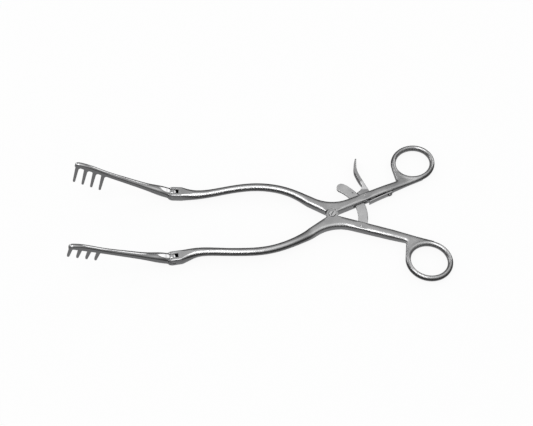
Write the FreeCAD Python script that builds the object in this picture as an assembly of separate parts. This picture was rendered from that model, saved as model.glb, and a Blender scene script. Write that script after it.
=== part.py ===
import FreeCAD, Part
import os
from math import radians, degrees, sin, cos, tan, atan2, pi, sqrt
from FreeCAD import Vector, Rotation, Placement

# Self retaining retractor with two hinged four-prong blades, in millimetres.
# Frame: the origin is on the axis of the joint screw, at the plane on which the arms lie.
# +X points to the finger rings, +Z is up, and the blades are towards -X. The upper arm is on +Y.
# Both arms are mirror images, apart from the halves of the lap joint and the slots of the ratchet.

os.makedirs("parts", exist_ok=True)

# Arms
ARM_THICKNESS = 7.2
EDGE_ROUND = 1.1
HANDLE_ANGLE = 20.4
HANDLE_ROOT_INNER = 0.2
HANDLE_ROOT_OUTER = 8.1
HANDLE_TIP_INNER = 1.4
HANDLE_TIP_OUTER = 7.5
SHANK_ANGLE = 33.5
SHANK_OFFSET = 2.85
SHANK_ROOT_WIDTH = 7.2
WAIST_RADIUS = 31.5
STUB_RUN = 2.3208

# Finger rings, as a closed oval about the ring's centre, a little longer than wide
RING_CENTRE = Vector(73.0, 47.9, 0)
RING_OPENING_SHORT = 27.4
RING_STRETCH = 2.0
RING_TURN = 30.0
RING_WALL = 4.2
RING_THICKNESS = 5.6
GUSSET_LEAN = 9.5
GUSSET_ROUND = 1.2

# Lap joint and its screw
LUG_RADIUS = 4.9
LAP_GAP = 0.12
RELIEF_RADIUS = 4.5
RELIEF_SHIFT = 1.8
SCREW_RADIUS = 1.9
SCREW_HEAD_RADIUS = 2.9
SCREW_HEAD_HEIGHT = 1.5
SCREW_HEAD_PROUD = 0.6
SCREW_SLOT_ANGLE = 57.0

# Shank: distance to the left and from the middle, width, height and rise of its sections
SHANK_SECTIONS = [(25.0, 19.85, 6.9, 7.0, 0.9), (34.0, 24.5, 6.0, 6.5, 2.1), (46.0, 28.8, 5.8, 6.1, 2.7),
                  (60.0, 31.15, 5.8, 5.9, 3.0), (74.0, 31.1, 5.7, 5.9, 3.1), (88.0, 29.8, 5.7, 5.9, 2.6),
                  (102.0, 28.2, 6.1, 6.0, 2.1), (113.0, 28.2, 7.1, 6.9, 1.6)]
SHANK_CORNER = 0.33

# Blade hinges
HINGE_X = -131.7
HINGE_Y = 31.5
HINGE_SPLAY = 5.8
KNUCKLE_RADIUS = 4.1
KNUCKLE_WIDTH = 9.0
KNUCKLE_LENGTH = 7.5
KNUCKLE_ROUND = 0.8
TONGUE_WIDTH = 3.8
HINGE_GAP = 0.2
HINGE_SCREW_RADIUS = 1.5
HINGE_HEAD_RADIUS = 2.4
HINGE_HEAD_HEIGHT = 0.9

# Blades with their prongs; the pitch and the lean are those of the upper and of the lower blade
BLADE_PITCHES = (29.8, 30.3)
BLADE_LENGTH = 82.7
BLADE_DROP = 2.2
BLADE_END_WIDTH = 3.7
BLADE_END_HEIGHT = 4.9
SHOULDER_HEIGHT = 6.5
PRONG_COUNT = 4
PRONG_PITCH = 7.4
PRONG_LENGTH = 17.8
PRONG_ROOT_WIDTH = 2.9
PRONG_TIP_WIDTH = 2.0
PRONG_THICKNESS = 2.6
PRONG_ROUND = 0.7
PRONG_LEANS = (18.0, 8.5)
PRONG_RAKE = 9.5
WEB_DEPTH = 2.6
SHOULDER_SPAN = 6.0
TAPER_SPAN = 18.0
END_BEND = 3.0
BLADE_CORNER = 0.4

# Ratchet bar
RATCHET_CENTRE = Vector(-7.3, -0.6, 0)
RATCHET_OUTER_RADIUS = 36.6
RATCHET_WIDTH = 8.0
RATCHET_THICKNESS = 1.8
RATCHET_END_ANGLE = 57.5
TOOTH_PITCH = 1.0
TOOTH_DEPTH = 0.65
TEETH_FROM = -12.0
TEETH_TO = 50.0
SLOT_CLEARANCE = 0.2
SLOT_END_GAP = 1.2
PIN_RADIUS = 0.9
PIN_INSET = 0.1
EYE_RADIUS = 1.75
NECK_LENGTH = 2.6
MARK_RADIUS = 0.6
MARK_DEPTH = 0.4
MARK_ANGLE = 39.7

# Release lever, with its thumb pad; its pin stands beyond the outer edge of the ratchet bar
LEVER_THICKNESS = 1.8
LEVER_PIN_BEYOND = 2.9
LEVER_PIN_ACROSS = 4.9
TOE_ANGLE = 35.6
TOE_GAP = 0.3
PAD_WIDTH = 5.6
PAD_ROOT_RISE = 8.2
PAD_FULL_RISE = 15.0
PAD_RIB_PITCH = 1.25
PAD_RIB_DEPTH = 0.35
PAD_RIB_COUNT = 9

# Corners of the lever's plan, measured from its pin, and the two sides of the pad from its root to its tip
LEVER_ROOT = Vector(4.6, 6.0, 0)
LEVER_BACK = Vector(4.7, 2.0, 0)
HEEL_TOP = Vector(4.8, -2.95, 0)
LEVER_HEEL = Vector(4.5, -4.05, 0)
HEEL_END = Vector(2.9, -4.4, 0)
LEVER_SOLE = Vector(-0.6, -2.3, 0)
LEVER_FRONT = Vector(-1.9, 0.3, 0)
LEVER_NECK = Vector(-2.7, 7.4, 0)
TOE_UNDERCUT = Vector(1.3, -1.0, 0)
PAD_LEFT = [Vector(-1.0, 11.3, 0), Vector(-3.2, 16.5, 0), Vector(-5.1, 21.8, 0), Vector(-6.2, 27.0, 0),
            Vector(-5.7, 32.8, 0), Vector(-3.7, 40.0, 0)]
PAD_RIGHT = [Vector(3.2, 9.5, 0), Vector(0.6, 14.5, 0), Vector(-2.2, 21.5, 0), Vector(-3.7, 27.5, 0),
             Vector(-3.6, 33.8, 0), Vector(-2.8, 40.0, 0)]

# Leaf spring and its screw; its free end lies beyond the lever's pin
SPRING_THICKNESS = 0.9
SPRING_WIDTH = 5.0
SPRING_LENGTH = 21.6
SPRING_FREE_BEYOND = 1.4
SPRING_SCREW_INSET = 2.4
SPRING_SEAT_LENGTH = 4.6
SPRING_SEAT_ACROSS = 0.2
SPRING_FREE_DROP = 1.0
SPRING_BOW = 0.35
SPRING_SCREW_RADIUS = 1.0
SPRING_SCREW_DEPTH = 5.6
SPRING_HEAD_RADIUS = 1.7
SPRING_HEAD_HEIGHT = 0.8

# Clearances and small common sizes
RUNNING_FIT = 0.04
SEAT_GAP = 0.05
SCREW_SLOT_WIDTH = 0.7
SCREW_SLOT_DEPTH = 0.5
OVERSHOOT = 1.0
TOUCHING = 1e-3

UP = Vector(0, 0, 1)
MID = ARM_THICKNESS / 2
RING_OPENING_LONG = RING_OPENING_SHORT + RING_STRETCH
LAP_TOP = MID - LAP_GAP / 2
RECESS_RADIUS = LUG_RADIUS + LAP_GAP
HANDLE_DIRECTION = Vector(cos(radians(HANDLE_ANGLE)), sin(radians(HANDLE_ANGLE)), 0)
HANDLE_LENGTH = RING_CENTRE.dot(HANDLE_DIRECTION)
HANDLE_NORMAL = Vector(-sin(radians(HANDLE_ANGLE)), cos(radians(HANDLE_ANGLE)), 0)
SHANK_DIRECTION = Vector(-cos(radians(SHANK_ANGLE)), sin(radians(SHANK_ANGLE)), 0)
SHANK_NORMAL = Vector(sin(radians(SHANK_ANGLE)), cos(radians(SHANK_ANGLE)), 0)
LEVER_PIN_ALONG = RATCHET_OUTER_RADIUS + RATCHET_CENTRE.x + LEVER_PIN_BEYOND
SPRING_FREE_ALONG = LEVER_PIN_ALONG + SPRING_FREE_BEYOND
SPRING_FIXED_ALONG = SPRING_FREE_ALONG + SPRING_LENGTH
SPRING_SCREW_ALONG = SPRING_FIXED_ALONG - SPRING_SCREW_INSET
SPRING_SEAT_START = SPRING_FIXED_ALONG - SPRING_SEAT_LENGTH


def handle_point(along, across, height=0.0):
    """A point given along the upper handle and square to it, away from the middle."""
    return HANDLE_DIRECTION * along + HANDLE_NORMAL * across + UP * height


def handle_inner(along):
    """Distance of the handle's inner edge from the handle line through the origin."""
    return HANDLE_ROOT_INNER + (HANDLE_TIP_INNER - HANDLE_ROOT_INNER) * along / HANDLE_LENGTH


def shank_point(along, across):
    """A point given along the root of the upper shank and square to it, away from the middle."""
    return SHANK_DIRECTION * along + SHANK_NORMAL * across


def polar(centre, radius, angle):
    return centre + Vector(radius * cos(radians(angle)), radius * sin(radians(angle)), 0)


def line(start, end):
    return Part.LineSegment(start, end).toShape()


def arc(start, middle, end):
    return Part.Arc(start, middle, end).toShape()


def curve(points):
    spline = Part.BSplineCurve()
    spline.interpolate(points)
    return spline.toShape()


def crossing(point_a, direction_a, point_b, direction_b):
    """Where two lines in the plan cross."""
    turn = direction_a.x * direction_b.y - direction_a.y * direction_b.x
    gap = point_b - point_a
    return point_a + direction_a * ((gap.x * direction_b.y - gap.y * direction_b.x) / turn)


def prism(edges, bottom, top):
    face = Part.Face(Part.Wire(edges))
    face.translate(UP * bottom)
    return face.extrude(UP * (top - bottom))


def polygon_prism(points, bottom, top):
    return prism(Part.makePolygon(points + points[:1]).Edges, bottom, top)


def disc(radius, centre, bottom, top):
    return Part.makeCylinder(radius, top - bottom, centre + UP * bottom, UP)


def fillet_where(shape, radius, wanted):
    edges = [edge for edge in shape.Edges if wanted(edge)]
    return shape.makeFillet(radius, edges)


def middle_of(edge):
    return edge.valueAt((edge.FirstParameter + edge.LastParameter) / 2)


def rounded_section(centre, direction, width, height, corner):
    """A rounded rectangle square to the direction, with its width lying level."""
    forward = Vector(direction).normalize()
    side = UP.cross(forward).normalize()
    rise = forward.cross(side)
    half_w, half_h = width / 2, height / 2

    def place(across, up):
        return centre + side * across + rise * up

    bend = corner * (1 - sqrt(0.5))
    corners = []
    for turn_x, turn_y in ((1, 1), (-1, 1), (-1, -1), (1, -1)):
        from_side = place(turn_x * half_w, turn_y * (half_h - corner))
        bow = place(turn_x * (half_w - bend), turn_y * (half_h - bend))
        from_top = place(turn_x * (half_w - corner), turn_y * half_h)
        ends = (from_side, from_top) if turn_x * turn_y > 0 else (from_top, from_side)
        corners.append(arc(ends[0], bow, ends[1]))
    outline = []
    for this, following in zip(corners, corners[1:] + corners[:1]):
        outline.append(this)
        outline.append(line(this.lastVertex().Point, following.firstVertex().Point))
    return Part.Wire(outline)


def slotted_head(radius, height, slot_width, slot_depth, slot_angle):
    """A screw head on the plan plane with its slot in the top."""
    head = Part.makeCylinder(radius, height)
    rim = [edge for edge in head.Edges if abs(middle_of(edge).z - height) < TOUCHING]
    head = head.makeChamfer(height / 4, rim)
    slot = Part.makeBox(3 * radius, slot_width, slot_depth + OVERSHOOT)
    slot.translate(Vector(-1.5 * radius, -slot_width / 2, height - slot_depth))
    slot.rotate(Vector(0, 0, 0), UP, slot_angle)
    return head.cut(slot)


def handle_edge(root, tip):
    """A point and the direction of a handle edge, from its distances at the joint and at the ring."""
    start = handle_point(0, root)
    return start, (handle_point(HANDLE_LENGTH, tip) - start).normalize()


def shank_edge(side):
    """A point on an edge of the shank's root: 1 is the outer edge and -1 the inner one."""
    return shank_point(0, SHANK_OFFSET + side * SHANK_ROOT_WIDTH / 2)


def waist():
    """Start, middle and end of the arc that touches the outer edges of handle and shank."""
    out_root, out_direction = handle_edge(HANDLE_ROOT_OUTER, HANDLE_TIP_OUTER)
    corner = crossing(out_root, out_direction, shank_edge(1), SHANK_DIRECTION)
    half_turn = (pi - out_direction.getAngle(SHANK_DIRECTION)) / 2
    reach = WAIST_RADIUS * tan(half_turn)
    out = (out_direction + SHANK_DIRECTION).normalize()
    middle = corner + out * (WAIST_RADIUS * (1 / cos(half_turn) - 1))
    return corner + out_direction * reach, middle, corner + SHANK_DIRECTION * reach


def stub_length():
    """The shank's root runs straight on a little beyond the waist, and there its bow begins."""
    return waist()[2].dot(SHANK_DIRECTION) + STUB_RUN


def arm_outline():
    """Plan edges of the upper arm's flat part, those of its ends, and the corner under the ring."""
    out_root, out_direction = handle_edge(HANDLE_ROOT_OUTER, HANDLE_TIP_OUTER)
    in_root, in_direction = handle_edge(HANDLE_ROOT_INNER, HANDLE_TIP_INNER)
    handle_in = handle_point(HANDLE_LENGTH, HANDLE_TIP_INNER)
    inner_cross = crossing(in_root, in_direction, shank_edge(-1), SHANK_DIRECTION)
    waist_right, waist_middle, waist_left = waist()
    stub_out = shank_edge(1) + SHANK_DIRECTION * stub_length()
    stub_in = shank_edge(-1) + SHANK_DIRECTION * stub_length()

    # A gusset fills the corner between the ring's flank and the handle
    ring_side = RING_CENTRE - Vector((RING_OPENING_LONG + RING_WALL) / 2, 0, 0)
    flank = ring_side - Vector(RING_WALL / 3, RING_WALL, 0)
    lean = Vector(-sin(radians(GUSSET_LEAN)), cos(radians(GUSSET_LEAN)), 0)
    crotch = crossing(out_root, out_direction, flank, lean)

    ends = [line(handle_in, RING_CENTRE), line(RING_CENTRE, ring_side), line(ring_side, flank)]
    stub_end = line(stub_out, stub_in)
    outside = [line(flank, crotch), line(crotch, waist_right), arc(waist_right, waist_middle, waist_left),
               line(waist_left, stub_out)]
    inside = [line(stub_in, inner_cross), line(inner_cross, handle_in)]
    return ends + outside + [stub_end] + inside, ends + [stub_end], crotch


def handle_side_view():
    """The room that the arm's flat part may fill: it thins evenly towards the ring, seen from the side."""
    low = MID - RING_THICKNESS / 2 + RING_WALL / 10
    side = [(-2 * stub_length(), 0), (SPRING_SEAT_START, 0), (HANDLE_LENGTH - RING_OPENING_SHORT / 2, low),
            (HANDLE_LENGTH + OVERSHOOT, low)]
    side += [(along, ARM_THICKNESS - height) for along, height in reversed(side)]
    reach = HANDLE_LENGTH
    outline = Part.makePolygon([handle_point(along, -reach, height) for along, height in side + side[:1]])
    return Part.Face(outline).extrude(HANDLE_NORMAL * (2 * reach))


def arm_plate():
    """The flat part of the upper arm: the tapering handle, the waist at the joint and the shank's root."""
    edges, ends, crotch = arm_outline()
    plate = prism(edges, 0, ARM_THICKNESS)

    def at_crotch(edge):
        return (middle_of(edge) - crotch).cross(UP).Length < TOUCHING

    def along_a_side(edge):
        spot = middle_of(edge)
        direction = edge.tangentAt(edge.FirstParameter)
        level = Part.Vertex(Vector(spot.x, spot.y, 0))
        at_end = any(level.distToShape(end)[0] < TOUCHING for end in ends)
        return not at_end and abs(direction.z) < 0.9 and abs(direction.dot(HANDLE_NORMAL)) < 0.99

    plate = fillet_where(plate, GUSSET_ROUND, at_crotch).common(handle_side_view())
    return fillet_where(plate, EDGE_ROUND, along_a_side)


def ring_line():
    """The oval centre line of the finger ring."""
    long_half = (RING_OPENING_LONG + RING_WALL) / 2
    short_half = (RING_OPENING_SHORT + RING_WALL) / 2
    centre = RING_CENTRE + UP * MID
    long_end = polar(centre, long_half, RING_TURN)
    return Part.Ellipse(long_end, polar(centre, short_half, RING_TURN + 90), centre).toShape()


def finger_ring():
    """The oval ring, a rounded bar swept round its own centre line."""
    path = Part.Wire(ring_line())
    centre = RING_CENTRE + UP * MID
    start = polar(centre, (RING_OPENING_LONG + RING_WALL) / 2, RING_TURN)
    side = polar(Vector(), RING_WALL / 2, RING_TURN)
    oval = Part.Ellipse(start + UP * (RING_THICKNESS / 2), start + side, start)
    return path.makePipeShell([Part.Wire(oval.toShape())], True, False)


def shank():
    """The slim bowed bar from the joint to the blade hinge, as a loft of rounded sections."""
    hinge = Vector(HINGE_X, HINGE_Y, KNUCKLE_RADIUS)
    back = Vector(cos(radians(HINGE_SPLAY)), -sin(radians(HINGE_SPLAY)), 0)
    start = shank_point(stub_length(), SHANK_OFFSET) + UP * MID
    end = hinge + back * KNUCKLE_LENGTH
    places = [Vector(-left, out, MID + rise) for left, out, width, height, rise in SHANK_SECTIONS]
    centre_line = Part.BSplineCurve()
    centre_line.interpolate([start] + places + [end], InitialTangent=SHANK_DIRECTION, FinalTangent=back * -1)
    sections = [rounded_section(start, SHANK_DIRECTION, SHANK_ROOT_WIDTH, ARM_THICKNESS, EDGE_ROUND)]
    for place, (left, out, width, height, rise) in zip(places, SHANK_SECTIONS):
        tangent = centre_line.tangent(centre_line.parameter(place))[0]
        corner = min(width, height) * SHANK_CORNER
        sections.append(rounded_section(place, tangent, width, height, corner))
    sections.append(rounded_section(end, back * -1, KNUCKLE_WIDTH, 2 * KNUCKLE_RADIUS, KNUCKLE_ROUND))
    return Part.makeLoft(sections, True, False)


def hinge_placement(side):
    """Puts a shape modelled with its hinge at the origin and its blade along -X at the hinge."""
    return Placement(Vector(HINGE_X, side * HINGE_Y, KNUCKLE_RADIUS), Rotation(UP, -side * HINGE_SPLAY))


def knuckle():
    """The fork at the end of the shank, modelled about the hinge axis, which runs along Y."""
    radius, half = KNUCKLE_RADIUS, KNUCKLE_WIDTH / 2
    edges = [line(Vector(0, 0, -radius), Vector(KNUCKLE_LENGTH, 0, -radius)),
             line(Vector(KNUCKLE_LENGTH, 0, -radius), Vector(KNUCKLE_LENGTH, 0, radius)),
             line(Vector(KNUCKLE_LENGTH, 0, radius), Vector(0, 0, radius)),
             arc(Vector(0, 0, radius), Vector(-radius, 0, 0), Vector(0, 0, -radius))]
    face = Part.Face(Part.Wire(edges))
    face.translate(Vector(0, -half, 0))
    block = face.extrude(Vector(0, KNUCKLE_WIDTH, 0))
    return fillet_where(block, KNUCKLE_ROUND,
                        lambda edge: middle_of(edge).x < KNUCKLE_LENGTH - TOUCHING
                        and abs(abs(middle_of(edge).y) - half) < TOUCHING)


def fork_slot():
    """The saw cut between the ears, with a back wall that slopes out to the top and the bottom."""
    half = TONGUE_WIDTH / 2 + HINGE_GAP / 2
    depth = KNUCKLE_RADIUS + HINGE_GAP
    top = KNUCKLE_RADIUS + OVERSHOOT
    run_out = depth + KNUCKLE_RADIUS / 3
    points = [Vector(-2 * depth, -half, -top), Vector(run_out, -half, -top), Vector(depth, -half, 0),
              Vector(run_out, -half, top), Vector(-2 * depth, -half, top)]
    return Part.Face(Part.makePolygon(points + points[:1])).extrude(Vector(0, 2 * half, 0))


def hinge_bore():
    """The hole for the hinge screw, with the seat of its head on the outer ear."""
    half = KNUCKLE_WIDTH / 2
    across = Vector(0, 1, 0)
    bore = Part.makeCylinder(HINGE_SCREW_RADIUS + RUNNING_FIT, KNUCKLE_WIDTH + 2 * OVERSHOOT,
                             Vector(0, -half - OVERSHOOT, 0), across)
    seat = Part.makeCylinder(HINGE_HEAD_RADIUS + RUNNING_FIT, HINGE_HEAD_HEIGHT + OVERSHOOT,
                             Vector(0, half - HINGE_HEAD_HEIGHT - SEAT_GAP, 0), across)
    return bore.fuse(seat)


def hinge_screw(side):
    half = KNUCKLE_WIDTH / 2
    body = Part.makeCylinder(HINGE_SCREW_RADIUS, KNUCKLE_WIDTH - HINGE_HEAD_HEIGHT - PIN_INSET)
    head = slotted_head(HINGE_HEAD_RADIUS, HINGE_HEAD_HEIGHT, SCREW_SLOT_WIDTH, SCREW_SLOT_DEPTH, 30)
    head.translate(UP * (KNUCKLE_WIDTH - HINGE_HEAD_HEIGHT - PIN_INSET))
    screw = body.fuse(head).removeSplitter()
    screw.translate(UP * (PIN_INSET - half))
    screw.rotate(Vector(0, 0, 0), Vector(1, 0, 0), -90)
    return placed_at_hinge(screw, side)


def placed_at_hinge(shape, side):
    """The shape at the upper hinge, or its mirror image at the lower one."""
    shape = shape.transformed(hinge_placement(1).toMatrix())
    return shape if side > 0 else mirrored(shape)


def mirrored(shape):
    return shape.mirror(Vector(0, 0, 0), Vector(0, 1, 0))


def arm_blank():
    """One whole arm without its lap joint and slots, shaped as the upper arm."""
    plate = arm_plate()
    plate = plate.cut(prism([ring_line()], -ARM_THICKNESS, ARM_THICKNESS))
    fork = knuckle().transformed(hinge_placement(1).toMatrix())
    blank = plate.fuse([finger_ring(), shank(), fork]).removeSplitter()
    cuts = fork_slot().fuse(hinge_bore()).transformed(hinge_placement(1).toMatrix())
    return blank.cut(cuts)


def lap_joint(arm, keeps_top):
    """Cuts away one half of the arm round the joint screw and adds the other half as a lug."""
    recess = disc(RECESS_RADIUS, Vector(), LAP_TOP, ARM_THICKNESS + OVERSHOOT)
    relief = disc(RELIEF_RADIUS, Vector(-RELIEF_SHIFT, 0, 0), LAP_TOP, ARM_THICKNESS + OVERSHOOT)
    lug = disc(LUG_RADIUS, Vector(), 0, LAP_TOP)
    cut = recess.fuse(relief)
    if keeps_top:
        flip = Rotation(Vector(1, 0, 0), 180)
        turn = Placement(UP * ARM_THICKNESS, flip).toMatrix()
        cut, lug = recess.transformed(turn), lug.transformed(turn)
    arm = arm.cut(cut).fuse(lug).removeSplitter()
    hole = disc(SCREW_RADIUS + RUNNING_FIT, Vector(), -OVERSHOOT, ARM_THICKNESS + OVERSHOOT)
    if keeps_top:
        sunk = SCREW_HEAD_HEIGHT - SCREW_HEAD_PROUD + SEAT_GAP
        seat = disc(SCREW_HEAD_RADIUS + RUNNING_FIT, Vector(),
                    ARM_THICKNESS - sunk, ARM_THICKNESS + OVERSHOOT)
        hole = hole.fuse(seat)
    return arm.cut(hole)


def slot_bounds():
    """Bottom and top of the flat slots in both handles."""
    half = RATCHET_THICKNESS / 2 + SLOT_CLEARANCE
    return MID - half, MID + half


def ratchet_pin_place():
    """Where the middle arc of the ratchet bar meets the middle line of the lower handle."""
    middle = RATCHET_OUTER_RADIUS - RATCHET_WIDTH / 2
    direction = Vector(HANDLE_DIRECTION.x, -HANDLE_DIRECTION.y, 0)
    start = Vector(HANDLE_NORMAL.x, -HANDLE_NORMAL.y, 0) * LEVER_PIN_ACROSS
    gap = start - RATCHET_CENTRE
    toward = gap.dot(direction)
    along = -toward + sqrt(toward * toward - gap.dot(gap) + middle * middle)
    return start + direction * along


def lever_pin_place():
    return handle_point(LEVER_PIN_ALONG, LEVER_PIN_ACROSS)


def toe_tip():
    return polar(RATCHET_CENTRE, RATCHET_OUTER_RADIUS + TOE_GAP, TOE_ANGLE)


def upper_slot():
    """The slot through the upper handle, in which the ratchet bar slides and the lever turns."""
    low, high = slot_bounds()
    inner = RATCHET_OUTER_RADIUS - RATCHET_WIDTH
    rise = HANDLE_ROOT_OUTER - RATCHET_CENTRE.dot(HANDLE_NORMAL)
    start = RATCHET_CENTRE.dot(HANDLE_DIRECTION) + sqrt(inner * inner - rise * rise) - SLOT_END_GAP
    low_side = LEVER_PIN_ACROSS - handle_inner(LEVER_PIN_ALONG)
    swing = sqrt(LEVER_ROOT.Length ** 2 - low_side ** 2)
    end = LEVER_PIN_ALONG + swing + SLOT_END_GAP
    below, above = -OVERSHOOT, HANDLE_ROOT_OUTER + OVERSHOOT
    points = [handle_point(start, below), handle_point(end, below),
              handle_point(end, above), handle_point(start, above)]
    return polygon_prism(points, low, high)


def build_upper_arm(blank):
    arm = lap_joint(blank, keeps_top=False)
    arm = arm.fuse(spring_seat()).removeSplitter()
    arm = arm.cut(upper_slot())
    arm = arm.cut(disc(PIN_RADIUS + RUNNING_FIT, lever_pin_place(), -OVERSHOOT, ARM_THICKNESS + OVERSHOOT))
    return arm.cut(spring_screw_hole())


def spring_line(across):
    """Plan points of the spring's centre face, bowed from its seat to the free end."""
    seat = SPRING_SEAT_ACROSS - SEAT_GAP - across
    length = SPRING_SEAT_START - SPRING_FREE_ALONG
    return [handle_point(SPRING_FIXED_ALONG, seat), handle_point(SPRING_SEAT_START, seat),
            handle_point(SPRING_SEAT_START - length / 2, seat - SPRING_FREE_DROP * SPRING_BOW),
            handle_point(SPRING_FREE_ALONG, seat - SPRING_FREE_DROP)]


def spring_seat():
    """The low boss on the inner side of the upper handle that carries the spring's fixed end."""
    inside = handle_inner(SPRING_SEAT_START) + OVERSHOOT
    face = SPRING_SEAT_ACROSS
    fade = inside - face
    points = [handle_point(SPRING_SEAT_START - fade, inside), handle_point(SPRING_SEAT_START, face),
              handle_point(SPRING_FIXED_ALONG, face), handle_point(SPRING_FIXED_ALONG + 3 * fade, inside)]
    return polygon_prism(points, MID - SPRING_WIDTH / 2, MID + SPRING_WIDTH / 2)


def spring_screw_hole():
    start = handle_point(SPRING_SCREW_ALONG, 0, MID)
    return Part.makeCylinder(SPRING_SCREW_RADIUS + RUNNING_FIT, SPRING_SCREW_DEPTH, start, HANDLE_NORMAL)


def build_spring_screw():
    under_head = SPRING_SEAT_ACROSS - SPRING_THICKNESS - 4 * SEAT_GAP
    length = SPRING_SCREW_DEPTH - PIN_INSET - under_head
    head = slotted_head(SPRING_HEAD_RADIUS, SPRING_HEAD_HEIGHT, SCREW_SLOT_WIDTH, SCREW_SLOT_DEPTH / 2, 20)
    body = Part.makeCylinder(SPRING_SCREW_RADIUS, length, Vector(), UP * -1)
    screw = head.fuse(body).removeSplitter()
    turn = Rotation(UP, HANDLE_NORMAL * -1)
    return screw.transformed(Placement(handle_point(SPRING_SCREW_ALONG, under_head, MID), turn).toMatrix())


def build_leaf_spring():
    near, far = spring_line(0), spring_line(SPRING_THICKNESS)
    edges = [line(near[0], near[1]), curve(near[1:]), line(near[3], far[3]), curve(far[1:]),
             line(far[1], far[0]), line(far[0], near[0])]
    low = MID - SPRING_WIDTH / 2
    strip = prism(edges, low, low + SPRING_WIDTH)
    hole = Part.makeCylinder(SPRING_SCREW_RADIUS + 2 * RUNNING_FIT, 4 * SPRING_THICKNESS,
                             handle_point(SPRING_SCREW_ALONG, -2 * SPRING_THICKNESS, MID), HANDLE_NORMAL)
    return strip.cut(hole)


def build_lower_arm(blank):
    arm = lap_joint(mirrored(blank), keeps_top=True)
    low, high = slot_bounds()
    pin = ratchet_pin_place()
    along = Vector(HANDLE_DIRECTION.x, -HANDLE_DIRECTION.y, 0)
    inward = Vector(-HANDLE_NORMAL.x, HANDLE_NORMAL.y, 0)
    half = RATCHET_WIDTH / 2 + SLOT_END_GAP
    back = EYE_RADIUS + SLOT_CLEARANCE
    open_side = LEVER_PIN_ACROSS + OVERSHOOT
    corners = [pin + along * half - inward * back, pin + along * half + inward * open_side,
               pin - along * half + inward * open_side, pin - along * half - inward * back]
    arm = arm.cut(polygon_prism(corners, low, high))
    return arm.cut(disc(PIN_RADIUS + RUNNING_FIT, pin, -OVERSHOOT, ARM_THICKNESS + OVERSHOOT))


def build_joint_screw():
    under_head = ARM_THICKNESS + SCREW_HEAD_PROUD - SCREW_HEAD_HEIGHT
    head = slotted_head(SCREW_HEAD_RADIUS, SCREW_HEAD_HEIGHT, SCREW_SLOT_WIDTH, SCREW_SLOT_DEPTH,
                        SCREW_SLOT_ANGLE)
    head.translate(UP * under_head)
    body = disc(SCREW_RADIUS, Vector(), 0, under_head)
    return head.fuse(body).removeSplitter()


def build_pin(place):
    return disc(PIN_RADIUS, place, PIN_INSET, ARM_THICKNESS - PIN_INSET)


def build_ratchet_bar():
    """The curved bar: saw teeth outside, a round free end, and a narrow eye at its pin."""
    centre, outer = RATCHET_CENTRE, RATCHET_OUTER_RADIUS
    inner = outer - RATCHET_WIDTH
    middle = outer - RATCHET_WIDTH / 2
    pin = ratchet_pin_place()
    pin_angle = degrees(atan2(pin.y - centre.y, pin.x - centre.x))
    root = outer - TOOTH_DEPTH
    step = degrees(TOOTH_PITCH / outer)
    count = int((TEETH_TO - TEETH_FROM) / step)
    neck_angle = pin_angle + degrees(NECK_LENGTH / middle)

    profile = [polar(centre, outer, neck_angle), polar(centre, outer, TEETH_FROM)]
    edges = [arc(profile[0], polar(centre, outer, (neck_angle + TEETH_FROM) / 2), profile[1])]
    corner = profile[1]
    for index in range(count):
        start = TEETH_FROM + index * step
        for radius, angle in ((root, start + step), (outer, start + step)):
            place = polar(centre, radius, angle)
            edges.append(line(corner, place))
            corner = place
    end_angle = RATCHET_END_ANGLE
    round_middle = polar(centre, middle, end_angle)
    tip = round_middle + (polar(Vector(), RATCHET_WIDTH / 2, end_angle + 90))
    last = TEETH_FROM + count * step
    edges.append(arc(corner, polar(centre, outer, (last + end_angle) / 2), polar(centre, outer, end_angle)))
    edges.append(arc(polar(centre, outer, end_angle), tip, polar(centre, inner, end_angle)))
    edges.append(arc(polar(centre, inner, end_angle), polar(centre, inner, (end_angle + neck_angle) / 2),
                     polar(centre, inner, neck_angle)))
    eye_out = polar(pin, EYE_RADIUS, pin_angle)
    eye_in = polar(pin, EYE_RADIUS, pin_angle + 180)
    edges.append(line(polar(centre, inner, neck_angle), eye_in))
    edges.append(arc(eye_in, polar(pin, EYE_RADIUS, pin_angle - 90), eye_out))
    edges.append(line(eye_out, profile[0]))
    half = RATCHET_THICKNESS / 2
    bar = prism(edges, MID - half, MID + half)
    bar = bar.cut(disc(PIN_RADIUS + RUNNING_FIT, pin, 0, ARM_THICKNESS))
    mark = polar(centre, middle + RATCHET_WIDTH / 5, MARK_ANGLE)
    return bar.cut(disc(MARK_RADIUS, mark, MID + half - MARK_DEPTH, MID + half + OVERSHOOT))


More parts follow.
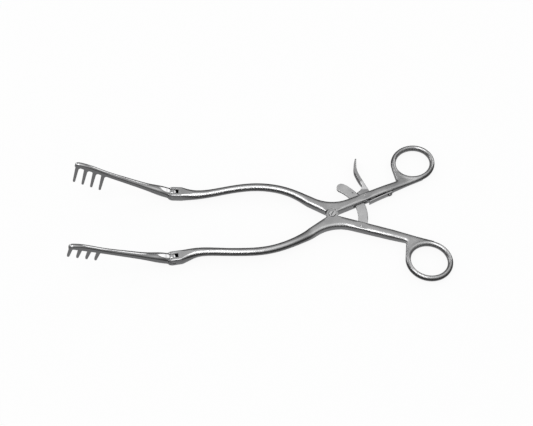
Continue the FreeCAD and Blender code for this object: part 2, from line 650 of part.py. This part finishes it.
def build_release_lever():
    """The pawl plate with its toe and heel, and the wide thumb pad that stands up from it."""
    pin = lever_pin_place()
    toe = toe_tip()
    left = [pin + place for place in PAD_LEFT]
    right = [pin + place for place in reversed(PAD_RIGHT)]
    under = [LEVER_ROOT, LEVER_BACK, HEEL_TOP, LEVER_HEEL, HEEL_END, LEVER_SOLE, LEVER_FRONT]
    body = [right[-1]] + [pin + place for place in under]
    body += [toe + TOE_UNDERCUT, toe, pin + LEVER_NECK, left[0]]
    edges = [curve(left), line(left[-1], right[0]), curve(right)]
    edges += [line(body[i], body[i + 1]) for i in range(len(body) - 1)]
    plan = prism(edges, MID - PAD_WIDTH / 2, MID + PAD_WIDTH / 2)

    # Seen along X the plate is thin up to the root of the pad and then widens like a paddle
    thin, wide = LEVER_THICKNESS / 2, PAD_WIDTH / 2
    low, root, full, top = toe.y - 3 * PAD_WIDTH, pin.y + PAD_ROOT_RISE, pin.y + PAD_FULL_RISE, left[-1].y
    face_x = toe.x - 2 * PAD_WIDTH

    def spot(y, half):
        return Vector(face_x, y, MID + half)

    shoulder = top - 1.6 * wide
    outline = [line(spot(low, -thin), spot(root, -thin)),
               curve([spot(root, -thin), spot((root + full) / 2, -(thin + wide) / 2), spot(full, -wide)]),
               line(spot(full, -wide), spot(shoulder, -wide)),
               arc(spot(shoulder, -wide), spot(top, 0), spot(shoulder, wide)),
               line(spot(shoulder, wide), spot(full, wide)),
               curve([spot(full, wide), spot((root + full) / 2, (thin + wide) / 2), spot(root, thin)]),
               line(spot(root, thin), spot(low, thin)), line(spot(low, thin), spot(low, -thin))]
    paddle = Part.Face(Part.Wire(outline)).extrude(Vector(6 * PAD_WIDTH, 0, 0))
    lever = plan.common(paddle)
    lever = lever.cut(disc(PIN_RADIUS + RUNNING_FIT, pin, 0, ARM_THICKNESS))

    # Cross grooves on the side that the thumb presses
    side = Part.BSplineCurve()
    side.interpolate(left)
    start = side.parameterAtDistance(0.0, side.FirstParameter)
    for index in range(PAD_RIB_COUNT):
        place = side.value(side.parameterAtDistance((index + 3) * PAD_RIB_PITCH, start))
        groove = disc(PAD_RIB_DEPTH, place, MID - PAD_WIDTH, MID + PAD_WIDTH)
        lever = lever.cut(groove)
    return lever


def rake_profile():
    """Side view of the four prongs and the web that joins them, in the plane of the blade."""
    root, tip = PRONG_ROOT_WIDTH / 2, PRONG_TIP_WIDTH / 2
    down = Vector(sin(radians(PRONG_RAKE)), 0, -cos(radians(PRONG_RAKE)))
    ahead = Vector(cos(radians(PRONG_RAKE)), 0, sin(radians(PRONG_RAKE)))
    pitch = Vector(PRONG_PITCH, 0, 0)
    arch = pitch.dot(ahead) / 2 - root
    arch_depth = WEB_DEPTH + arch
    first = Vector(-BLADE_LENGTH, 0, 0)
    start = first - ahead * root
    cursor = start
    edges = []
    for index in range(PRONG_COUNT):
        axis = first + pitch * index
        tip_centre = axis + down * (PRONG_LENGTH - tip)
        low_left, low_right = tip_centre - ahead * tip, tip_centre + ahead * tip
        edges.append(line(cursor, low_left))
        edges.append(arc(low_left, tip_centre + down * tip, low_right))
        cursor = axis + ahead * root + down * arch_depth
        edges.append(line(low_right, cursor))
        arch_centre = cursor + ahead * arch
        if index < PRONG_COUNT - 1:
            following = arch_centre + ahead * arch
            edges.append(arc(cursor, arch_centre - down * arch, following))
            cursor = following
    slant = (down + ahead).normalize()
    fade = arch_centre - down * arch
    edges.append(arc(cursor, arch_centre - slant * arch, fade))
    run_out = Vector(fade.x + PRONG_PITCH, 0, 0)
    edges += [line(fade, run_out), line(run_out, start)]
    return edges


def build_blade(side):
    """One blade: a tapering bar from the hinge to the rake of prongs, pitched up at rest."""
    pitch, lean = (values[0 if side > 0 else 1] for values in (BLADE_PITCHES, PRONG_LEANS))
    half_comb = PRONG_THICKNESS / 2
    face = Part.Face(Part.Wire(rake_profile()))
    face.translate(Vector(0, -half_comb, 0))
    rake = face.extrude(Vector(0, PRONG_THICKNESS, 0))
    rake = fillet_where(rake, PRONG_ROUND,
                        lambda edge: abs(abs(middle_of(edge).y) - half_comb) < TOUCHING
                        and middle_of(edge).z < -BLADE_END_HEIGHT / 2)
    rake.rotate(Vector(0, 0, 0), Vector(1, 0, 0), -lean)
    rake.translate(UP * -BLADE_DROP)

    end = BLADE_LENGTH + (PRONG_ROOT_WIDTH + PRONG_ROUND) / 2
    width, height = BLADE_END_WIDTH, BLADE_END_HEIGHT
    start = KNUCKLE_RADIUS * 0.6
    low = -BLADE_DROP
    stations = [(start, KNUCKLE_WIDTH, SHOULDER_HEIGHT, low / 4),
                (start + SHOULDER_SPAN, KNUCKLE_WIDTH * 0.92, SHOULDER_HEIGHT * 1.1, low / 2),
                (start + TAPER_SPAN, KNUCKLE_WIDTH * 0.68, SHOULDER_HEIGHT * 0.96, low * 0.85),
                (BLADE_LENGTH * 0.45, width * 1.25, height * 1.07, low),
                (BLADE_LENGTH * 0.72, width, height, low),
                (end - END_BEND, width, height, low),
                (end - END_BEND * 0.4, width * 0.96, height * 0.86, low - height * 0.07),
                (end, width * 0.8, height * 0.5, low - height * 0.2)]
    sections = []
    for along, wide, tall, rise in stations:
        corner = min(wide, tall) * BLADE_CORNER
        sections.append(rounded_section(Vector(-along, 0, rise), Vector(-1, 0, 0), wide, tall, corner))
    bar = Part.makeLoft(sections, True, False)
    gap_radius = KNUCKLE_RADIUS + HINGE_GAP
    across = Vector(0, 1, 0)
    room = Part.makeCylinder(gap_radius, 2 * KNUCKLE_WIDTH, Vector(0, -KNUCKLE_WIDTH, 0), across)
    bar = bar.cut(room)

    half_tongue = TONGUE_WIDTH / 2
    tongue = Part.makeCylinder(KNUCKLE_RADIUS, TONGUE_WIDTH, Vector(0, -half_tongue, 0), across)
    neck_reach, neck_height = 1.5 * gap_radius, 0.75 * SHOULDER_HEIGHT
    neck = Part.makeBox(neck_reach, TONGUE_WIDTH, neck_height)
    neck.translate(Vector(-neck_reach, -half_tongue, -neck_height / 2))
    blade = bar.fuse([tongue, neck, rake]).removeSplitter()
    bore = Part.makeCylinder(HINGE_SCREW_RADIUS + RUNNING_FIT, KNUCKLE_WIDTH,
                             Vector(0, -KNUCKLE_WIDTH / 2, 0), across)
    blade = blade.cut(bore)
    blade.rotate(Vector(0, 0, 0), across, pitch)
    return placed_at_hinge(blade, side)


def save(name, shape):
    solids = shape.Solids
    shape = solids[0] if len(solids) == 1 else shape
    print(name, "solids", len(solids), "valid", shape.isValid(), "volume %.1f" % shape.Volume)
    shape.exportStep("parts/%s.step" % name)


blank = arm_blank()
save("upper_arm", build_upper_arm(blank))
save("lower_arm", build_lower_arm(blank))
save("joint_screw", build_joint_screw())
save("ratchet_bar", build_ratchet_bar())
save("ratchet_bar_pin", build_pin(ratchet_pin_place()))
save("release_lever", build_release_lever())
save("lever_pin", build_pin(lever_pin_place()))
save("leaf_spring", build_leaf_spring())
save("spring_screw", build_spring_screw())
save("upper_blade", build_blade(1))
save("lower_blade", build_blade(-1))
save("upper_hinge_screw", hinge_screw(1))
save("lower_hinge_screw", hinge_screw(-1))
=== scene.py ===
# %% [markdown]
# # A self retaining retractor in polished and satin steel
# The CAD solids already have every piece of the instrument, so this scene keeps them all as they are.
# Blender adds what a solid has not got: how forged and ground stainless steel looks. We set the camera,
# a white table and a soft room for the steel to mirror, and then we build one finish after another.

import bpy
from mathutils import Matrix, Vector


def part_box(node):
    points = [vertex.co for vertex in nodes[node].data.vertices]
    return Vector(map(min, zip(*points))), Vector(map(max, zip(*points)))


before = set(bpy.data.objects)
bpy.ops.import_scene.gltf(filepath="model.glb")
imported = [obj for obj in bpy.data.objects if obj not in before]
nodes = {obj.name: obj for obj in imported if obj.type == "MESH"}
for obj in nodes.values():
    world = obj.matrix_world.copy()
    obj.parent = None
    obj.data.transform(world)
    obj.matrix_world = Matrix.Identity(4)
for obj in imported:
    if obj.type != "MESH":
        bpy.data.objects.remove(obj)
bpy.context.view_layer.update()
print("pieces:", len(nodes))

# %% [markdown]
# The camera looks down on the instrument from the side of the lower handle, about 57 degrees above the
# table, and is turned a little on its own axis. It could also be made to track an empty. Its place and
# axes are written out instead, so the picture's frame is settled once and the rest of the scene can be
# judged against it.

# %% Camera
PICTURE_WIDTH = 533
FOCAL_PIXELS = 900
SENSOR_WIDTH = 36.0
NEAREST_SEEN = 0.01
CAMERA_PLACE = Vector((-0.052445, -0.399140, 0.628680))
CAMERA_RIGHT = Vector((0.998098, -0.050638, -0.035147))
CAMERA_UP = Vector((0.061611, 0.837143, 0.543504))

camera_data = bpy.data.cameras.new("camera")
camera_data.sensor_fit = "HORIZONTAL"
camera_data.sensor_width = SENSOR_WIDTH
camera_data.lens = SENSOR_WIDTH * FOCAL_PIXELS / PICTURE_WIDTH
camera_data.clip_start = NEAREST_SEEN
camera = bpy.data.objects.new("camera", camera_data)
bpy.context.scene.collection.objects.link(camera)
bpy.context.scene.camera = camera
right = CAMERA_RIGHT.normalized()
up = (CAMERA_UP - right * right.dot(CAMERA_UP)).normalized()
turn = Matrix((right, up, right.cross(up))).transposed().to_4x4()
camera.matrix_world = Matrix.Translation(CAMERA_PLACE) @ turn
print("camera:", round(CAMERA_PLACE.z, 3), "m above the table, lens", round(camera_data.lens, 1), "mm")


# %% [markdown]
# Materials are trees of nodes. A few small helpers keep the cells short. The first two fill a socket and
# add a node with its settings and sockets. The others make the kinds of node that come back most often.

# %% Helpers for node trees
def feed(tree, value, socket):
    """Joins an output to the socket, or sets the socket to a plain value."""
    if isinstance(value, bpy.types.NodeSocket):
        tree.links.new(value, socket)
    else:
        socket.default_value = value


def add_node(tree, kind, sockets=None, **settings):
    """Adds a node with its settings, and then feeds its sockets, each given by name or by number."""
    node = tree.nodes.new(kind)
    for name, value in settings.items():
        setattr(node, name, value)
    for name, value in (sockets or {}).items():
        feed(tree, value, node.inputs[name])
    return node


def ranged(tree, value, start, end, low=0.0, high=1.0, kind="SMOOTHSTEP"):
    """Turns what lies between start and end into what lies between low and high."""
    sockets = {"Value": value, "From Min": start, "From Max": end, "To Min": low, "To Max": high}
    return add_node(tree, "ShaderNodeMapRange", sockets, interpolation_type=kind).outputs["Result"]


def worked_out(tree, operation, first, second):
    return add_node(tree, "ShaderNodeMath", {0: first, 1: second}, operation=operation).outputs[0]


def mixed_shader(tree, share, first, second):
    return add_node(tree, "ShaderNodeMixShader", {0: share, 1: first, 2: second}).outputs[0]


def grey(level, blue=None):
    """A grey as a colour, with a blue of its own where one is given."""
    return (level, level, level if blue is None else blue, 1.0)


# %% [markdown]
# The table is one wide flat sheet. It belongs to the studio and not to the instrument.

# %% Table
TABLE_SIZE = 8.0

bpy.ops.object.select_all(action="DESELECT")
bpy.ops.mesh.primitive_plane_add(size=TABLE_SIZE, location=(0, 0, 0))
table = bpy.context.object
table.name = "table"
bpy.ops.object.transform_apply(location=True, rotation=True, scale=True)
print("table:", TABLE_SIZE, "m wide")

# %% [markdown]
# For the steel's reflections the sheet glows with painted light: faint from afar and lighter where it is
# close to the steel, and that paints every bar's dark side as a painted reflection. Ambient occlusion finds
# the paper that is close to the steel, because it falls where something stands over the sheet. The sides of
# the polished blades need more light than that gives, so a wide patch of the sheet under them glows brighter
# as well, a painted reflection that stands in for a soft reflector.

# %% Painted glow of the table, seen only in the steel's reflections
TABLE_FAR = 0.04
TABLE_NEAR = 0.44
NEAR_REACH = 0.014
NEAR_SAMPLES = 8
OPEN_PAPER = 0.95
CLOSE_PAPER = 0.62
PAINTED_PATCH_RIGHT = -0.105
PAINTED_PATCH_LEFT = -0.135
PAINTED_PATCH_GLOW = 0.27

white = bpy.data.materials.new("white_table")
white.use_nodes = True
tree = white.node_tree
tree.nodes.clear()
openness = add_node(tree, "ShaderNodeAmbientOcclusion", {"Distance": NEAR_REACH}, samples=NEAR_SAMPLES)
# painted reflection: the sheet glows brighter for the steel where ambient occlusion finds steel close by
painted_glow_near_steel = ranged(tree, openness.outputs["AO"], OPEN_PAPER, CLOSE_PAPER, TABLE_FAR, TABLE_NEAR, "LINEAR")
spot = add_node(tree, "ShaderNodeTexCoord")
spot_axes = add_node(tree, "ShaderNodeSeparateXYZ", {0: spot.outputs["Object"]})
# painted reflection: a patch of the sheet under the blades glows brighter, in place of a soft reflector
painted_patch = ranged(tree, spot_axes.outputs["X"], PAINTED_PATCH_RIGHT, PAINTED_PATCH_LEFT, high=PAINTED_PATCH_GLOW)
painted_table_reflection = worked_out(tree, "MAXIMUM", painted_glow_near_steel, painted_patch)
print("the steel mirrors the table at", TABLE_FAR, "to", TABLE_NEAR)

# %% [markdown]
# The camera sees the same sheet as an even white. Most of it is plain light from the sheet itself, and a
# small share of diffuse white keeps the instrument's own soft shadow. Light Path tells a ray of the camera
# from one that the steel mirrors, so one material can be both.

# %% White of the table
TABLE_SEEN = 0.90
PAPER_WHITE = 0.86
FULL_LIGHT = 1.0
WHITE = grey(1.0)

rays = add_node(tree, "ShaderNodeLightPath")
paper = add_node(tree, "ShaderNodeBsdfDiffuse", {"Color": grey(PAPER_WHITE)})
glow = add_node(tree, "ShaderNodeEmission", {"Color": WHITE, "Strength": FULL_LIGHT})
# painted light: this glow of the sheet is seen only in the steel's reflections
painted_reflection_glow = add_node(tree, "ShaderNodeEmission", {"Color": WHITE, "Strength": painted_table_reflection})
seen = worked_out(tree, "MULTIPLY", rays.outputs["Is Camera Ray"], TABLE_SEEN)
plain_light = worked_out(tree, "MAXIMUM", seen, rays.outputs["Is Transmission Ray"])
for_eyes = mixed_shader(tree, plain_light, paper.outputs[0], glow.outputs[0])
sheet = mixed_shader(tree, rays.outputs["Is Glossy Ray"], for_eyes, painted_reflection_glow.outputs[0])
add_node(tree, "ShaderNodeOutputMaterial", {"Surface": sheet})
table.data.materials.append(white)
print("material", white.name, "with", len(tree.nodes), "nodes")

# %% [markdown]
# Steel shows its surroundings more than itself, and a room of even white would leave it flat. This room is
# brightest straight above and falls off to the walls, as under a large soft box, so a flat top is mid grey,
# a rounded edge that leans to the camera runs through the bright part, and one that leans away goes dark.
# A picture of a studio could be wrapped round the scene instead, but a ramp over the height needs no file.

# %% Room
ROOM_LIGHT = 0.75
ROOM_STEPS = ((0.0, 0.05), (0.45, 0.12), (0.70, 0.32), (0.86, 0.62), (0.94, 1.05), (1.0, 1.3))

world = bpy.data.worlds.new("room")
bpy.context.scene.world = world
world.use_nodes = True
tree = world.node_tree
tree.nodes.clear()
direction = add_node(tree, "ShaderNodeTexCoord")
direction_axes = add_node(tree, "ShaderNodeSeparateXYZ", {0: direction.outputs["Generated"]})
height = add_node(tree, "ShaderNodeValToRGB", {"Fac": direction_axes.outputs["Z"]})
steps = height.color_ramp.elements
for rise, level in ROOM_STEPS[1:-1]:
    steps.new(rise)
for step, (rise, level) in zip(steps, ROOM_STEPS):
    step.position = rise
    step.color = grey(level)
soft_box = add_node(tree, "ShaderNodeBackground", {"Color": height.outputs["Color"], "Strength": FULL_LIGHT})
fill = add_node(tree, "ShaderNodeBackground", {"Color": WHITE, "Strength": ROOM_LIGHT})
clear = add_node(tree, "ShaderNodeBackground", {"Color": WHITE, "Strength": FULL_LIGHT})
rays = add_node(tree, "ShaderNodeLightPath")
for_steel = mixed_shader(tree, rays.outputs["Is Glossy Ray"], fill.outputs[0], soft_box.outputs[0])
around = mixed_shader(tree, rays.outputs["Is Camera Ray"], for_steel, clear.outputs[0])
add_node(tree, "ShaderNodeOutputWorld", {"Surface": around})
print("room:", [(round(step.position, 2), round(step.color[0], 2)) for step in steps])


# %% [markdown]
# Three soft lamps add to the room. The upper one hangs above the instrument, a little to the left. The
# other two stand low behind it, one at each side, and are aimed at the blades, whose tops slant two ways.

# %% Lamps
UPPER_PLACE = (-0.35, -0.20, 1.45)
UPPER_SIZE = (0.9, 0.45)
UPPER_WATTS = 5.0
BLADES_MIDDLE = (-0.17, 0.0, 0.02)
SIDE_REACH = 0.95
SIDE_BEHIND = 0.70
SIDE_HEIGHT = 0.56
SIDE_SIZE = (0.6, 0.6)
SIDE_WATTS = 1.5


def soft_lamp(name, place, aim, size, watts):
    data = bpy.data.lights.new(name, "AREA")
    data.shape = "RECTANGLE"
    data.size, data.size_y = size
    data.energy = watts
    lamp = bpy.data.objects.new(name, data)
    bpy.context.scene.collection.objects.link(lamp)
    lamp.location = place
    lamp.rotation_euler = (Vector(aim) - Vector(place)).to_track_quat("-Z", "Y").to_euler()


soft_lamp("upper_lamp", UPPER_PLACE, (0, 0, 0), UPPER_SIZE, UPPER_WATTS)
for side in (-1, 1):
    side_place = (BLADES_MIDDLE[0] + side * SIDE_REACH, SIDE_BEHIND, SIDE_HEIGHT)
    soft_lamp("side_lamp", side_place, BLADES_MIDDLE, SIDE_SIZE, SIDE_WATTS)


# %% [markdown]
# Stainless steel that has been bead blasted, ground or polished differs in three ways: how wide its glints
# spread, how the fine scratches run, and how light each edge is painted, partly as rub wear and partly as a
# painted highlight. These are made once as node groups and placed in each finish with values of its own. The
# first is the grain. Noise that is drawn out along the instrument makes scratches, small even noise makes
# the blasted speckle, and slow noise makes the clouds of a face that was ground by hand.

# %% Shared pattern of fine scratches
SCRATCH_DETAIL = 3.0
SPECKLE_DETAIL = 2.0
CLOUD_DETAIL = 4.0
CLOUD_SCALE = 90.0
UNSCALED = 1.0


def new_group(name, inputs, outputs):
    """A node group with the named sockets, and the sockets of its two ends."""
    group = bpy.data.node_groups.new(name, "ShaderNodeTree")
    for way, sockets in (("INPUT", inputs), ("OUTPUT", outputs)):
        for socket, kind in sockets.items():
            group.interface.new_socket(name=socket, in_out=way, socket_type=kind)
    return group, add_node(group, "NodeGroupInput").outputs, add_node(group, "NodeGroupOutput").inputs


NUMBER = "NodeSocketFloat"
VECTOR = "NodeSocketVector"
grain, given, result = new_group(
    "fine_grain",
    {"Length": NUMBER, "Across": NUMBER, "Speckle": NUMBER, "Speckle Share": NUMBER, "Place": VECTOR},
    {"Scratches": NUMBER, "Clouds": NUMBER})
scales = add_node(grain, "ShaderNodeCombineXYZ",
                  {"X": given["Length"], "Y": given["Across"], "Z": given["Across"]})
drawn_out = add_node(grain, "ShaderNodeVectorMath", {0: given["Place"], 1: scales.outputs[0]},
                     operation="MULTIPLY")
lines = add_node(grain, "ShaderNodeTexNoise",
                 {"Vector": drawn_out.outputs[0], "Scale": UNSCALED, "Detail": SCRATCH_DETAIL})
dots = add_node(grain, "ShaderNodeTexNoise",
                {"Vector": given["Place"], "Scale": given["Speckle"], "Detail": SPECKLE_DETAIL})
blend = add_node(grain, "ShaderNodeMix",
                 {"Factor": given["Speckle Share"], "A": lines.outputs["Fac"], "B": dots.outputs["Fac"]},
                 data_type="FLOAT")
clouds = add_node(grain, "ShaderNodeTexNoise",
                  {"Vector": given["Place"], "Scale": CLOUD_SCALE, "Detail": CLOUD_DETAIL})
feed(grain, blend.outputs["Result"], result["Scratches"])
feed(grain, clouds.outputs["Fac"], result["Clouds"])
print("group", grain.name, "with", len(grain.nodes), "nodes")

# %% [markdown]
# A steep wall is painted darker than a top face that lies flat, as painted shade. The mask below tells walls
# from tops by the way each face points.

# %% Shared mask of steep walls
LEANING = 0.75
UPRIGHT = 0.15

walls, given, result = new_group("steep_walls", {"Facing": VECTOR}, {"Wall": NUMBER})
facing_axes = add_node(walls, "ShaderNodeSeparateXYZ", {0: given["Facing"]})
steep = add_node(walls, "ShaderNodeMath", {0: facing_axes.outputs["Z"]}, operation="ABSOLUTE")
feed(walls, ranged(walls, steep.outputs[0], LEANING, UPRIGHT), result["Wall"])
print("group", walls.name, "with", len(walls.nodes), "nodes")

# %% [markdown]
# Polishing rounds a bar more than its drawing says: its top is a little crowned and its walls bulge. The
# Bevel node bends the normals near an edge to show that, and leaves the mesh alone. Where its normal departs
# from the true one there is an edge, which is painted lighter, partly as rub wear and partly as a painted
# highlight. Ambient occlusion over a short reach finds the narrow gaps between pieces, which get painted
# shade.

# %% Shared rounding, painted edge highlight and painted crevice shade
EDGE_SAMPLES = 8
EDGE_STARTS = 0.995
EDGE_FULL = 0.85
CREVICE_REACH = 0.0016
CREVICE_STARTS = 0.80
CREVICE_FULL = 0.35

rounding_rub_highlight_shade, given, result = new_group("rounding_edge_rub_highlight_crevice_shade", {"Reach": NUMBER},
                                 {"Normal": VECTOR, "Edge": NUMBER, "Crevice": NUMBER})
rounded = add_node(rounding_rub_highlight_shade, "ShaderNodeBevel", {"Radius": given["Reach"]}, samples=EDGE_SAMPLES)
true_face = add_node(rounding_rub_highlight_shade, "ShaderNodeNewGeometry")
match = add_node(rounding_rub_highlight_shade, "ShaderNodeVectorMath",
                 {0: rounded.outputs["Normal"], 1: true_face.outputs["Normal"]}, operation="DOT_PRODUCT")
gap = add_node(rounding_rub_highlight_shade, "ShaderNodeAmbientOcclusion", {"Distance": CREVICE_REACH}, samples=EDGE_SAMPLES)
feed(rounding_rub_highlight_shade, rounded.outputs["Normal"], result["Normal"])
feed(rounding_rub_highlight_shade, ranged(rounding_rub_highlight_shade, match.outputs["Value"], EDGE_STARTS, EDGE_FULL), result["Edge"])
feed(rounding_rub_highlight_shade, ranged(rounding_rub_highlight_shade, gap.outputs["AO"], CREVICE_STARTS, CREVICE_FULL), result["Crevice"])
print("group", rounding_rub_highlight_shade.name, "with", len(rounding_rub_highlight_shade.nodes), "nodes")


# %% [markdown]
# The colour of a finish is laid on in layers: the cloudy ground face, the walls darkened with painted shade,
# then each edge lightened with rub wear and a painted highlight, and last the crevices darkened with painted
# shade. Its cooler greys have a little more blue.

# %% Colour of a finish
CLOUD_DARK = 0.66
CLOUD_DARK_BLUE = 0.67
CLOUD_LIGHT = 1.32
WALL_SHADE_BLUE = 1.02
EDGE_RUB_AND_HIGHLIGHT = 1.2
EDGE_RUB_AND_HIGHLIGHT_SHARE = 0.5
# the near-black colour of the painted shade in the crevices
CREVICE_SHADE = grey(0.03, blue=0.033)


def mixed_colour(tree, share, first, second):
    sockets = {"Factor": share, "A": first, "B": second}
    return add_node(tree, "ShaderNodeMix", sockets, data_type="RGBA").outputs["Result"]


def steel_colour(tree, cloudy, wall, edge, crevice, tone, wall_shade_tone):
    dark = grey(tone * CLOUD_DARK, blue=tone * CLOUD_DARK_BLUE)
    ground = mixed_colour(tree, cloudy, dark, grey(tone * CLOUD_LIGHT))
    # painted shade: the steep walls are painted a darker grey
    wall_shaded = mixed_colour(tree, wall, ground, grey(wall_shade_tone, blue=wall_shade_tone * WALL_SHADE_BLUE))
    # painted highlight: each edge is painted lighter, partly as rub wear
    rub_and_highlight_share = worked_out(tree, "MULTIPLY", edge, EDGE_RUB_AND_HIGHLIGHT_SHARE)
    rub_and_highlight_layer = mixed_colour(tree, rub_and_highlight_share, wall_shaded, grey(tone * EDGE_RUB_AND_HIGHLIGHT))
    # painted shade: the crevices that ambient occlusion finds are painted nearly black
    return mixed_colour(tree, crevice, rub_and_highlight_layer, CREVICE_SHADE)


# %% [markdown]
# The wide rounding suits the plain bars, but it would smear the screws, the pins and the forks of the
# hinges, which stay sharp. So the arms have a ball about each of these fittings, inside which the
# rounding is fine. The place and size of a ball are measured on the fitting itself.

# %% Fittings that stay sharp
FINE_REACH = 0.0003
FADE = 0.004
SHARP_MARGINS = {"joint_screw": 0.004, "lever_pin": 0.003, "ratchet_bar_pin": 0.003,
                 "upper_hinge_screw": 0.010, "lower_hinge_screw": 0.010}


def sharp_ball(name, margin):
    """The middle of a fitting, and the radius inside which the rounding is fine."""
    low, high = (Vector(corner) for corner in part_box(name))
    return (low + high) / 2, max((high - low).xy) / 2 + margin


def rounding_reach(tree, place, reach, balls):
    """The reach of the rounding, which falls to the fine one inside each ball."""
    least = reach
    for centre, radius in balls:
        away = add_node(tree, "ShaderNodeVectorMath", {0: place, 1: centre}, operation="DISTANCE")
        near = ranged(tree, away.outputs["Value"], radius, radius + FADE, FINE_REACH, reach)
        least = worked_out(tree, "MINIMUM", least, near)
    return least


sharp_balls = [sharp_ball(name, margin) for name, margin in SHARP_MARGINS.items()]
print("radii of the balls in metres:", [round(radius, 4) for centre, radius in sharp_balls])


# %% [markdown]
# Light on ground steel wavers for two reasons. Slow clouds swell the face a little, and fine scratches lie
# on top. Both are bumps of the normal here, because they are far too fine for a mesh, and the scratches
# also make the face duller in one place than in the next.

# %% Roughness and relief of a finish
SCRATCHES_LOW = 0.3
SCRATCHES_HIGH = 0.7
SMOOTHER = 0.85
ROUGHER = 1.15
SWELL = 0.12
SWELL_HEIGHT = 0.001
SCRATCH_HEIGHT = 0.0001


def steel_roughness(tree, scratches, roughness):
    return ranged(tree, scratches, SCRATCHES_LOW, SCRATCHES_HIGH, roughness * SMOOTHER,
                  roughness * ROUGHER, "LINEAR")


def bumped(tree, strength, distance, pattern, normal):
    sockets = {"Strength": strength, "Distance": distance, "Height": pattern, "Normal": normal}
    return add_node(tree, "ShaderNodeBump", sockets).outputs["Normal"]


# %% [markdown]
# A finish is one Principled shader of full metal that the three groups feed. The groups hold what all
# steel shares, and the values that make one steel differ from the next are given here.

# %% A steel finish
GRAIN_LENGTH = 60.0
GRAIN_ACROSS = 2600.0
SPECKLE_SCALE = 5000.0


def placed_group(tree, group, sockets):
    return add_node(tree, "ShaderNodeGroup", sockets, node_tree=group).outputs


def steel_finish(name, tone, wall_shade_tone, roughness, scratched, reach, balls=(), speckle=0.5):
    finish = bpy.data.materials.new(name)
    finish.use_nodes = True
    tree = finish.node_tree
    place = add_node(tree, "ShaderNodeTexCoord").outputs
    pattern = placed_group(tree, grain, {"Length": GRAIN_LENGTH, "Across": GRAIN_ACROSS,
                                         "Speckle": SPECKLE_SCALE, "Speckle Share": speckle,
                                         "Place": place["Object"]})
    wall = placed_group(tree, walls, {"Facing": place["Normal"]})
    edge = placed_group(tree, rounding_rub_highlight_shade, {"Reach": rounding_reach(tree, place["Object"], reach, balls)})
    swollen = bumped(tree, SWELL, SWELL_HEIGHT, pattern["Clouds"], edge["Normal"])
    looks = {
        "Metallic": 1.0,
        "Base Color": steel_colour(tree, pattern["Clouds"], wall["Wall"], edge["Edge"], edge["Crevice"],
                                   tone, wall_shade_tone),
        "Roughness": steel_roughness(tree, pattern["Scratches"], roughness),
        "Normal": bumped(tree, scratched, SCRATCH_HEIGHT, pattern["Scratches"], swollen)}
    for socket, value in looks.items():
        feed(tree, value, tree.nodes["Principled BSDF"].inputs[socket])
    return finish


# %% [markdown]
# The arms are satin steel with the wide rounding. The ratchet bar is a flat ground plate, the dullest of
# all, and the release lever is a darker plate. The blades are polished and have the sharpest glints. The
# screws, the pins and the leaf spring are the brightest steel.

# %% Finishes of the pieces
# each finish's steep walls take a darker grey of painted shade
satin = steel_finish("satin_steel", tone=0.56, wall_shade_tone=0.42, roughness=0.18, scratched=0.12,
                     reach=0.0036, balls=sharp_balls)
plate = steel_finish("ground_plate", tone=0.64, wall_shade_tone=0.44, roughness=0.38, scratched=0.40,
                     reach=0.0005)
dark_plate = steel_finish("lever_steel", tone=0.48, wall_shade_tone=0.36, roughness=0.34, scratched=0.25,
                          reach=0.0008)
polished = steel_finish("polished_steel", tone=0.66, wall_shade_tone=0.50, roughness=0.12, scratched=0.04,
                        reach=0.0014, speckle=0.2)
brightest = steel_finish("screw_steel", tone=0.80, wall_shade_tone=0.50, roughness=0.18, scratched=0.05,
                         reach=FINE_REACH, speckle=0.2)
FINISH = {"upper_arm": satin, "lower_arm": satin, "ratchet_bar": plate, "release_lever": dark_plate,
          "upper_blade": polished, "lower_blade": polished, "joint_screw": brightest,
          "lever_pin": brightest, "ratchet_bar_pin": brightest, "spring_screw": brightest,
          "leaf_spring": brightest, "upper_hinge_screw": brightest, "lower_hinge_screw": brightest}
for name, finish in FINISH.items():
    nodes[name].data.materials.clear()
    nodes[name].data.materials.append(finish)
    print(name, "in", finish.name)

# %% [markdown]
# The Standard view shows each grey as it is written. The finishes add no shape to the bare solids.

# %% View transform
bpy.context.scene.view_settings.view_transform = "Standard"
